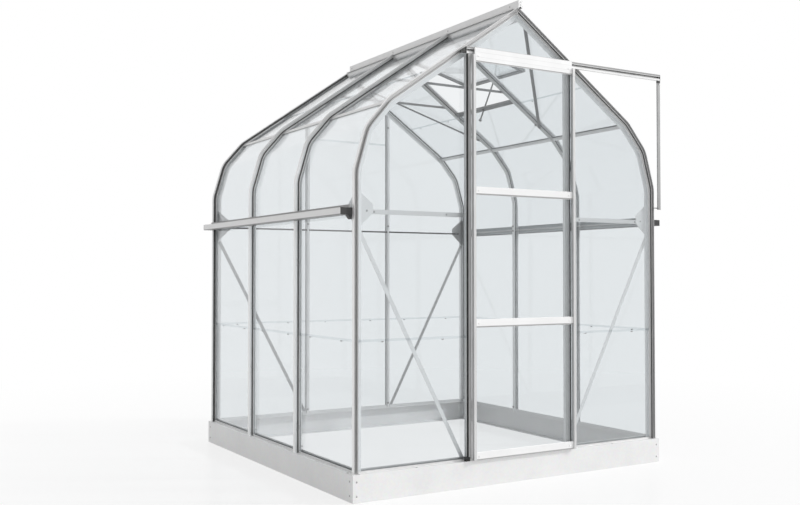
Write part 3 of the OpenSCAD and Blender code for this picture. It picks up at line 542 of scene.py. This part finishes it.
def outline(depth):
    """Half of the outline in x and z, moved in by a depth, from the plinth to the apex."""
    knees = [Vector((HALF_W, LEG_TOP_Z))]
    for length, slope in FACETS:
        angle = math.radians(slope)
        knees.append(knees[-1] + length * Vector((-math.cos(angle), math.sin(angle))))
    slopes = (math.pi / 2, *(math.radians(slope) for _, slope in FACETS), PITCH)
    points = [Vector((HALF_W - depth, PLINTH_H))]
    for knee, below, above in zip(knees, slopes, slopes[1:]):
        middle = (below + above) / 2
        centre = knee - BEND_R / math.cos((below - above) / 2) * Vector((math.sin(middle), math.cos(middle)))
        for i in range(7):
            angle = below + (above - below) * i / 6
            points.append(centre + (BEND_R - depth) * Vector((math.sin(angle), math.cos(angle))))
    points.append(Vector((0.001, APEX_Z - depth / math.cos(PITCH) - 0.001 * math.tan(PITCH))))
    return points


def roof_point(x, y, depth):
    """A point of the right slope at the distance x from the middle, at a depth below the outer line."""
    return Vector((x, y, APEX_Z - depth / math.cos(PITCH) - x * math.tan(PITCH)))


def mirrored(side, vector):
    """The same vector on the right side, 1, or on the left side, -1."""
    return Vector((side * vector[0], vector[1], vector[2]))


def gable_y(front, depth):
    """The place of a depth behind the front gable's plane, or before the back gable's plane."""
    return FRONT_Y + depth if front else BACK_Y - depth


# ---- Fastenings of the plinth


def plinth_rivets(mesh):
    """Rivets at the plinth's corners. The back board has none on its face: their heads would pass the
    CAD's box."""
    for side in (-1, 1):
        for z in (PLINTH_H - 0.033, 0.030):
            turned(mesh, facing((side * (PLINTH_HALF_W - 0.020), plinth_low.y, z), (0, -1, 0)), RIVET)
            for y in (plinth_low.y + 0.032, 2 * MID_Y - plinth_low.y - 0.032):
                turned(mesh, facing((side * PLINTH_HALF_W, y, z), (side, 0, 0)), RIVET)


def plinth_bolts(mesh):
    """Bolts down through the plinth's top flange beside the corner bars and along the sills."""
    for side in (-1, 1):
        for y in (FRONT_Y - PLINTH_OUT / 2, BACK_Y + PLINTH_OUT / 2):
            for x in PLINTH_BOLT_XS:
                turned(mesh, facing((side * x, y, PLINTH_H), (0, 0, 1)), FLAT_HEAD)
        for y in SILL_BOLT_YS:
            turned(mesh, facing((side * (HALF_W + PLINTH_OUT / 2), y, PLINTH_H), (0, 0, 1)), FLAT_HEAD)


piece("plinth_rivets", "house", steel, plinth_rivets, smooth=True)
piece("plinth_bolts", "house", steel, plinth_bolts, smooth=True)


# ---- Fastenings of the frame


def corner_plate_bolts(mesh):
    """Flat heads on the corner plates, the eaves bars and the braces, and nuts inside."""
    for front in (True, False):
        out = (0, -1, 0) if front else (0, 1, 0)
        inward = (0, 1, 0) if front else (0, -1, 0)
        y = gable_y(front, HEEL)
        for side in (-1, 1):
            for x, rise in PLATE_BOLTS:
                turned(mesh, facing((side * x, y, EAVES_Z + rise), out), FLAT_HEAD)
                inner = HEEL + (0.004 if rise > 0 else 0.002)
                nut(mesh, facing((side * x, gable_y(front, inner), EAVES_Z + rise), inward))
        for side in (-1, 1):
            for y in (gable_y(front, 0.05), gable_y(front, 0.09)):
                nut(mesh, facing((side * (HALF_W - HEEL - 0.002), y, EAVES_Z + 0.02), (-side, 0, 0)))


def bar_bolts(mesh):
    """Nuts on the inner edges of the bars, where the ties, the gutters and the sills are fixed."""
    for side in (-1, 1):
        for x in EAVES_BOLT_XS:
            turned(mesh, facing((side * x, FRONT_Y + HEEL + 0.002, EAVES_Z), (0, -1, 0)), FLAT_HEAD)
        for y in BAR_YS:
            for z in BAR_NUT_ZS:
                nut(mesh, facing((side * (HALF_W - BAR_DEPTH), y, z), (-side, 0, 0)))
            for x in SLOPE_NUT_XS:
                at = mirrored(side, roof_point(x, y, BAR_DEPTH))
                nut(mesh, facing(at, mirrored(side, -SLOPE_OUT), (0, 1, 0)))
            tie_x = side * (tie_high.x - 0.016)
            for face in (-1, 1):
                turned(mesh, facing((tie_x, y + face * 0.001, TIE_Z), (0, face, 0)), DOME)
        for z in POST_NUT_ZS:
            nut(mesh, facing((side * POST_X, BACK_Y - BAR_DEPTH, z), (0, -1, 0)))


def ridge_bolts(mesh):
    """Domed heads along the ridge's sides, and on its end plate."""
    half = 0.012
    for side in (-1, 1):
        for y in (FRONT_Y + 0.06, *BAR_YS, BACK_Y - 0.09):
            turned(mesh, facing((side * half, y, ridge_high.z - 0.018), (side, 0, 0)), RIVET)
    for z in (ridge_high.z - 0.010, ridge_high.z - 0.024):
        turned(mesh, facing((0, ridge_low.y, z), (0, -1, 0)), [(r * 0.7, h * 0.6) for r, h in RIVET])


def purlin_bolts(mesh):
    """Domed heads through the purlins beside every bar."""
    lip = 0.0173
    for side in (-1, 1):
        for edge in (FRONT_Y + 0.042, *(y + s * 0.022 for y in BAR_YS for s in (-1, 1)), BACK_Y - 0.042):
            at = mirrored(side, roof_point(PURLIN_OUT_X - 0.014, edge, lip))
            turned(mesh, facing(at, mirrored(side, SLOPE_OUT), (0, 1, 0)), RIVET)


def gutter_bolts(mesh):
    """Heads in the trough beside every bar, and clamps over the lip of the gutter."""
    back_x = HALF_W + CAP_OUT + 0.0028
    for side in (-1, 1):
        for y in SILL_BOLT_YS:
            turned(mesh, facing((side * back_x, y, gutter_high.z - 0.008), (side, 0, 0)), DOME)
            x0, x1, z = gutter_high.x - 0.010, gutter_high.x - 0.0005, gutter_low.z + 0.033
            matrix = facing((0, y, 0), (0, 0, 1), (1, 0, 0))
            path = [(side * x0, z - 0.004), (side * x0, z + 0.0006), (side * x1, z + 0.0006)]
            strip(mesh, matrix, path, 0.006, 0.0005)


def bent_strips(mesh, outer, inner, spans):
    """Strips that follow the outline on both sides between two depths, one for each span of y."""
    for side in (-1, 1):
        for y0, y1 in spans:
            rings = []
            for a, b in zip(outline(outer), outline(inner)):
                corners = ((a, y0), (a, y1), (b, y1), (b, y0))
                rings.append([mesh.verts.new((side * p.x, y, p.y)) for p, y in corners])
            join_rings(mesh, rings)


def front_nose_shade_strips(mesh):
    """Dark rubber strips along the inner sides of the front corner bars' noses: painted shade there."""
    bent_strips(mesh, 0.0200, 0.0213, [(FRONT_Y, FRONT_Y + 0.0100)])


def back_seals(mesh):
    """Rubber behind the noses of the back corner bars."""
    bent_strips(mesh, 0.0040, 0.0160, [(BACK_Y - 0.0187, BACK_Y - 0.0175)])


def bar_seals_and_shade(mesh):
    """Rubber seals on both sides of the side bars' webs, between the caps and the panes; their dark is also
    painted shade in the gap there.
    """
    half_web, half_seal = 0.00125, 0.0042
    bent_strips(mesh, 0.0085, 0.0150, [(y + way * half_web, y + way * half_seal)
                                       for y in BAR_YS for way in (-1, 1)])


def gutter_seals(mesh):
    """Rubber over the top edges of the gutters' back plates."""
    x0, x1 = HALF_W + CAP_OUT + 0.0002, HALF_W + CAP_OUT + 0.0034
    for side in (-1, 1):
        matrix = facing((0, gutter_low.y, 0), (0, 1, 0), (0, 0, 1))
        section = [(-side * x0, gutter_high.z + 0.0001), (-side * x1, gutter_high.z - 0.004),
                   (-side * x1, gutter_high.z + 0.006), (-side * x0, gutter_high.z + 0.007)]
        plate(mesh, matrix, section, 0.0, gutter_high.y - gutter_low.y)


piece("front_nose_shade_strips", "house", grey_rubber, front_nose_shade_strips)
piece("back_seals", "house", grey_rubber, back_seals)
piece("bar_seals_and_shade", "house", grey_rubber, bar_seals_and_shade)
piece("gutter_seals", "house", pale_rubber, gutter_seals)
piece("corner_plate_bolts", "house", steel, corner_plate_bolts)
piece("bar_nuts", "house", steel, bar_bolts)
piece("ridge_bolts", "house", steel, ridge_bolts, smooth=True)
piece("purlin_bolts", "house", steel, purlin_bolts, smooth=True)
piece("gutter_bolts", "house", steel, gutter_bolts)


# ---- Clips of the panes


def lap_clip(mesh, matrix):
    """Small hook that holds the upper pane's lower edge to the lower pane's top."""
    path = [(-0.0150, 0.0004), (-0.0150, 0.0050), (-0.0140, 0.0057), (-0.0105, 0.0057)]
    strip(mesh, matrix, path, 0.0045, 0.0005)
    strip(mesh, matrix, [(-0.0150, 0.0008), (-0.0110, 0.0008)], 0.0045, 0.0004)


def lap_clips(mesh):
    """Two hooks on each lap of the side walls and the gables."""
    for side in (-1, 1):
        for y0, y1 in zip(BAY_EDGES, BAY_EDGES[1:]):
            for share in LAP_SHARES:
                y = y0 + (y1 - y0) * share
                at = (side * (HALF_W - PANE_OUT), y, LAP_Z)
                lap_clip(mesh, facing(at, (side, 0, 0)))
    front_columns = ((DOOR_NOSE_X + 0.01, HALF_W - HEEL), (-HALF_W + HEEL, -DOOR_NOSE_X - 0.01))
    back_columns = ((POST_X, HALF_W - HEEL), (-POST_X, POST_X), (-HALF_W + HEEL, -POST_X))
    for front, columns in ((True, front_columns), (False, back_columns)):
        for x0, x1 in columns:
            for share in LAP_SHARES:
                at = (x0 + (x1 - x0) * share, gable_y(front, PANE_OUT), LAP_Z)
                lap_clip(mesh, facing(at, (0, -1, 0) if front else (0, 1, 0)))


def roof_lap_clips(mesh):
    """The same clips on the roof's laps, but for the vent's bay."""
    x = PURLIN_OUT_X - 0.0135 - 0.330 * math.cos(PITCH)
    for side in (-1, 1):
        for i, (y0, y1) in enumerate(zip(BAY_EDGES, BAY_EDGES[1:])):
            if side > 0 and i == VENT_BAY:
                continue
            for share in LAP_SHARES:
                at = mirrored(side, roof_point(x, y0 + (y1 - y0) * share, PANE_OUT))
                matrix = facing(at, mirrored(side, SLOPE_OUT), mirrored(side, SLOPE_UP))
                lap_clip(mesh, matrix)


def clip_pair(mesh, matrix, rise):
    """Two spring wires that press the panes beside a bar, each from under the cap's lip and back."""
    length, reach, wire_r, steps = 0.034, 0.0115, 0.0009, 12
    for turn in (-1, 1):
        points = []
        for i in range(steps + 1):
            swing = math.sin(i / steps * math.pi)
            out = turn * (0.0030 + reach * swing)
            points.append((out, (i / steps - 0.5) * length, rise * (1 - swing) + 0.0012))
        wire(mesh, matrix, points, wire_r)


def glazing_clips(mesh):
    """Clips beside the side bars and the back gable's posts, on the outside of the panes."""
    for side in (-1, 1):
        for y in BAR_YS:
            for z in WALL_CLIP_ZS:
                depth = PANE_OUT if z < LAP_Z else LAPPED
                clip_pair(mesh, facing((side * (HALF_W - depth), y, z), (side, 0, 0)), depth - 0.002)
            for x in LOW_ROOF_CLIP_XS:
                at = mirrored(side, roof_point(x, y, PANE_OUT))
                clip_pair(mesh, facing(at, mirrored(side, SLOPE_OUT), mirrored(side, SLOPE_UP)), 0.018)
        for z in POST_CLIP_ZS:
            depth = LAPPED if LAP_Z < z < EAVES_Z else PANE_OUT
            clip_pair(mesh, facing((side * POST_X, BACK_Y - depth, z), (0, 1, 0)), depth - 0.0115)
    for y in BAR_YS:
        for x in HIGH_ROOF_CLIP_XS:
            at = mirrored(-1, roof_point(x, y, LAPPED))
            clip_pair(mesh, facing(at, mirrored(-1, SLOPE_OUT), mirrored(-1, SLOPE_UP)), LAPPED - 0.002)


piece("lap_clips", "house", steel, lap_clips)
piece("roof_lap_clips", "house", steel, roof_lap_clips)
piece("glazing_clips", "house", steel, glazing_clips, smooth=True)


# ---- Track and door


def track_plug(mesh):
    """Plug in the track's right end: a plate with rounded corners and a rib in the slot."""
    middle = (track_low + track_high) / 2
    matrix = facing((track_high.x, middle.y, middle.z), (1, 0, 0))
    half_d, half_h, bevel = 0.0069, 0.0168, 0.0025
    corners = [(-half_d + bevel, -half_h), (half_d - bevel, -half_h), (half_d, -half_h + bevel),
               (half_d, half_h - bevel), (half_d - bevel, half_h), (-half_d + bevel, half_h),
               (-half_d, half_h - bevel), (-half_d, -half_h + bevel)]
    plate(mesh, matrix, corners, 0.0002, 0.0030)
    rib = [(-0.004, -0.0125), (0.004, -0.0125), (0.004, 0.0125), (-0.004, 0.0125)]
    plate(mesh, matrix, rib, -0.012, 0.0004)


def track_stop(mesh):
    """Wedge that stops the door at the track's left end, screwed to the corner bar."""
    x1 = track_low.x - 0.0003
    z1 = track_high.z - 0.004
    matrix = facing((x1, FRONT_Y - 0.0003, z1), (0, -1, 0))
    corners = [(0, 0), (-0.006, 0), (-0.030, -0.016), (-0.034, -0.024), (-0.030, -0.0285), (0, -0.0285)]
    plate(mesh, matrix, corners, 0.0, 0.0100)
    turned(mesh, facing((x1 - 0.016, FRONT_Y - 0.0103, z1 - 0.018), (0, -1, 0)), FLAT_HEAD)


def post_bracket(mesh):
    """Angle clip under the track, round the front and the inner side of the end post."""
    x0, x1, y = track_high.x - END_POST_W, track_high.x, track_low.y
    near, far = 0.0001, 0.0014
    corners = [(x0 - far, y - far), (x1, y - far), (x1, y - near), (x0 - near, y - near),
               (x0 - near, y + 0.0065), (x0 - far, y + 0.0065)]
    plate(mesh, Matrix.Translation((0, 0, track_low.z)), corners, -0.0140, -0.0004)


def track_screws(mesh):
    """Screws through the back of the track into the posts and the corner bars."""
    z = (track_low.z + track_high.z) / 2
    for x in TRACK_SCREW_XS:
        turned(mesh, facing((x, FRONT_Y - 0.0025, z), (0, -1, 0)), FLAT_HEAD)
    post_low, post_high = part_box("track_end_post")
    small_dome = [(r * 0.8, h * 0.8) for r, h in DOME]
    for z in (post_low.z + 0.009, post_high.z - 0.020):
        turned(mesh, facing((post_high.x - 0.009, post_low.y, z), (0, -1, 0)), small_dome)


def door_rivets(mesh):
    """Rivets at the ends of the door's rails."""
    y = top_low.y
    for x in (top_low.x + 0.020, top_high.x - 0.024):
        turned(mesh, facing((x, y, top_high.z - 0.042), (0, -1, 0)), RIVET)
        for z in (rails_low.z + RAIL_H / 2, LOWER_RAIL_Z + RAIL_H / 2, rails_high.z - RAIL_H / 2):
            turned(mesh, facing((x, y, z), (0, -1, 0)), RIVET)


def door_beads(mesh):
    """Glazing beads between the door's panes and rails: a rounded lip along each rail's edge."""
    x0, x1 = rails_low.x + 0.002, rails_high.x - 0.002
    y = rails_high.y - 0.004
    levels = [(rails_low.z + RAIL_H, 1), (LOWER_RAIL_Z, -1), (LOWER_RAIL_Z + RAIL_H, 1),
              (rails_high.z - RAIL_H, -1), (rails_high.z, 1), (top_low.z, -1)]
    section = [(0.0001, 0.0001), (0.0034, 0.0001), (0.0034, 0.0012), (0.0026, 0.0022),
               (0.0012, 0.0026), (0.0001, 0.0026)]
    for z, way in levels:
        matrix = Matrix(((0, 0, 1, 0), (1, 0, 0, y), (0, 1, 0, z), (0, 0, 0, 1)))
        plate(mesh, matrix, [(-d, way * h) for d, h in section], x0, x1)


piece("track_plug", "house", black_plastic, track_plug)
piece("track_stop", "house", black_plastic, track_stop)
piece("post_bracket", "house", black_plastic, post_bracket)
piece("track_screws", "house", steel, track_screws, smooth=True)
piece("door_rivets", "door", metal_z, door_rivets, smooth=True)
piece("door_beads", "door", metal_rail, door_beads)


# ---- Studio


# Direction of the studio's large soft light, and the way that the sun's light travels
SOFTBOX_AT = (0.62, -0.62, 0.48)
SUN_TRAVEL = (-0.80, 0.45, -0.58)


def make_world():
    """Soft light, stronger from the softbox, in front of a background that shows as plain white."""
    world = bpy.data.worlds.new("studio")
    world.use_nodes = True
    scene.world = world
    graph = Graph(world.node_tree)
    output = graph.add("ShaderNodeOutputWorld")
    direction = graph.add("ShaderNodeTexCoord").outputs["Generated"]
    softbox = tuple(Vector(SOFTBOX_AT).normalized())
    toward = graph.add("ShaderNodeVectorMath", {0: direction, 1: softbox}, operation="DOT_PRODUCT")
    glow = graph.remap(toward.outputs["Value"], 0.2, 0.9, 0.0, 1.0)
    strength = graph.math("ADD", graph.math("MULTIPLY", glow, 0.5), 0.5)
    studio = graph.add("ShaderNodeBackground", {"Color": grey(1.0), "Strength": strength})
    white = graph.add("ShaderNodeBackground", {"Color": grey(1.0), "Strength": 1.0})
    mix = graph.add("ShaderNodeMixShader", {0: graph.seen(), 1: studio.outputs[0], 2: white.outputs[0]})
    graph.put(output.inputs["Surface"], mix.outputs[0])


# Brightness of the floor near the object: with the shaded part it comes to plain white. The shaded
# part, which takes the object's shadow, fades out between two distances
FLOOR_GLOW = 1.02
FLOOR_FADE = (1.6, 5.0)


def make_floor():
    """Wide white floor that keeps the object's shadow and a faint gloss."""
    mesh = bpy.data.meshes.new("floor")
    half = 40.0
    z = cad_low[2] - 0.001
    corners = [(-half, -half, z), (half, -half, z), (half, half, z), (-half, half, z)]
    mesh.from_pydata(corners, [], [(0, 1, 2, 3)])
    floor = bpy.data.objects.new("floor", mesh)
    scene.collection.objects.link(floor)
    material, graph, surface = new_material("floor")
    shaded = graph.add("ShaderNodeBsdfPrincipled", {
        "Base Color": grey(0.8), "Roughness": 0.3,
        "Normal": graph.bump(graph.noise(4.0), 0.02, 0.002)})
    far = graph.add("ShaderNodeVectorMath", {0: graph.place()}, operation="LENGTH").outputs["Value"]
    plain = graph.remap(far, *FLOOR_FADE, 0.72, 1.0)
    strength = graph.remap(far, *FLOOR_FADE, FLOOR_GLOW, 1.0)
    white = graph.add("ShaderNodeEmission", {"Color": grey(1.0), "Strength": strength})
    factor = graph.math("MULTIPLY", graph.seen(), plain)
    mix = graph.add("ShaderNodeMixShader", {0: factor, 1: shaded.outputs[0], 2: white.outputs[0]})
    graph.put(surface, mix.outputs[0])
    mesh.materials.append(material)


def make_sun():
    """A weak broad sun for the soft shadows."""
    sun_data = bpy.data.lights.new("key", "SUN")
    sun_data.energy = 1.7
    sun_data.angle = math.radians(5)
    sun = bpy.data.objects.new("key", sun_data)
    sun.rotation_euler = Vector(SUN_TRAVEL).to_track_quat("-Z", "Y").to_euler()
    scene.collection.objects.link(sun)


make_world()
make_floor()
make_sun()
